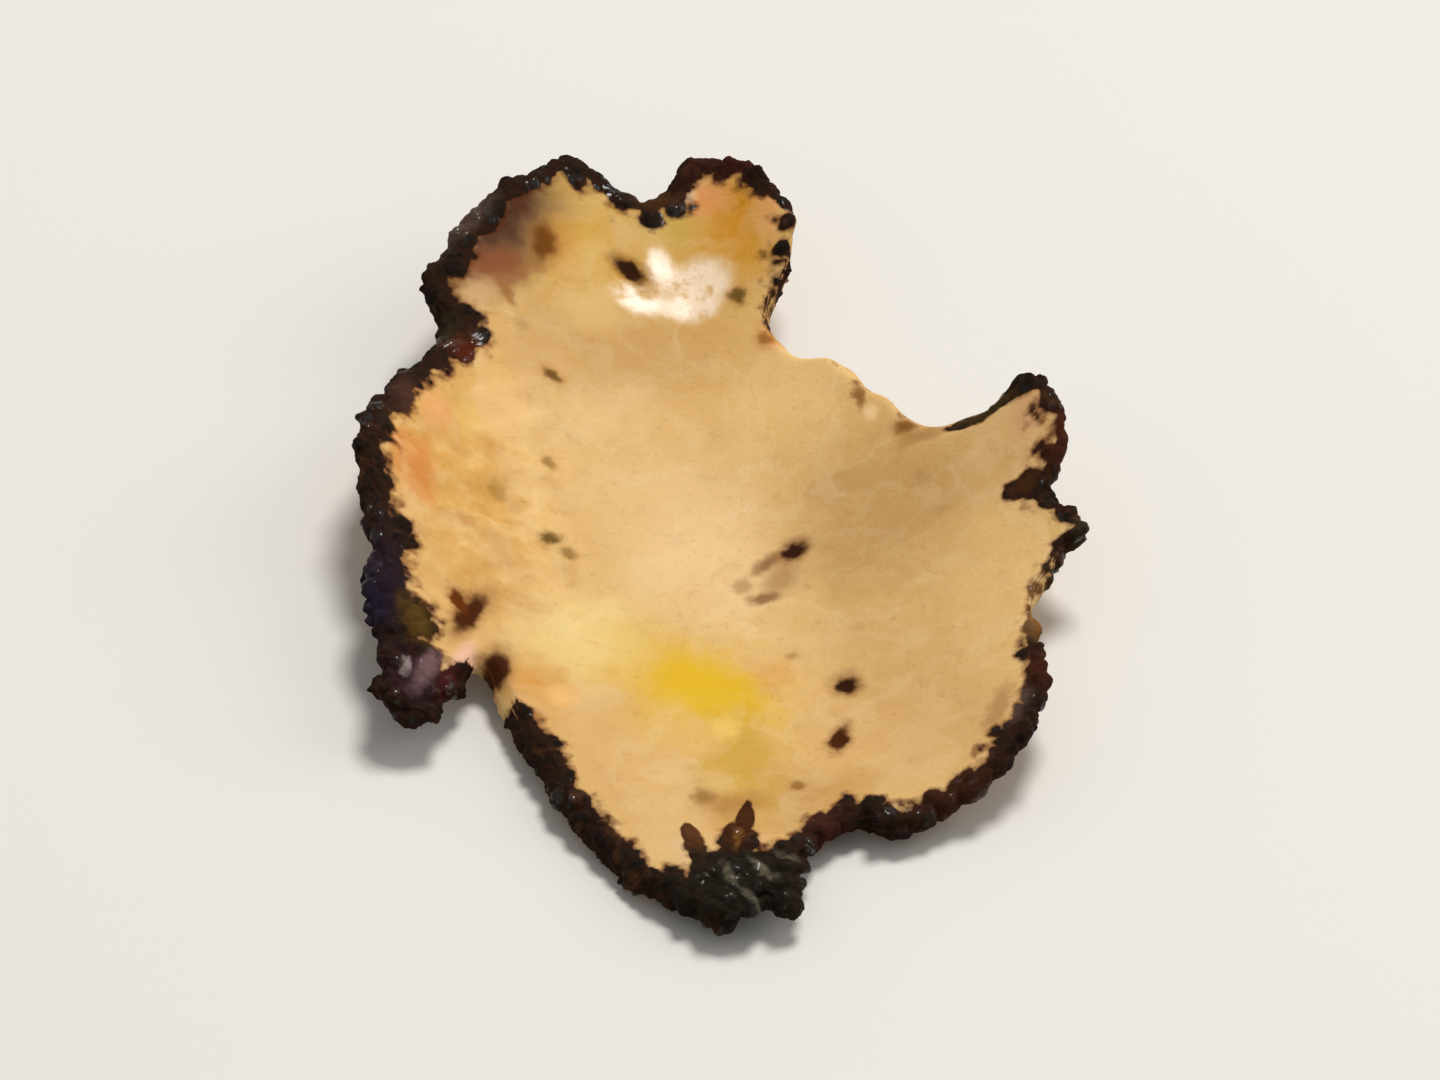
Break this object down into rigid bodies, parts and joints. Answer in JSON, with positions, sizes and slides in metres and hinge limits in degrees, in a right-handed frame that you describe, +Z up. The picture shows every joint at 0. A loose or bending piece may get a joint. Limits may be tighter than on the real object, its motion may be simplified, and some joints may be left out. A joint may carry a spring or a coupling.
{
  "type": "black truffle slice",
  "caption": "Thin shaved slice of black truffle with a lobed outline, pale tan flesh and a crumbly black rind round its edge, curled up a little and lying on a small flat spot.",
  "frame": {"origin": "centre of the bounding box in plan, at the level of the flat spot that the slice rests on", "axes": "+Z up out of the cut face, +Y along the slice from its thick crumbly root towards its twin lobes, +X across it towards its pointed side"},
  "size_m": [0.0232, 0.034, 0.0046],
  "materials": {
    "truffle_flesh": "moist, waxy tan cut face with a rough black-brown rind at the rim"
  },
  "bodies": {
    "root": {"truffle_slice": "truffle_flesh"}
  },
  "joints": []
}
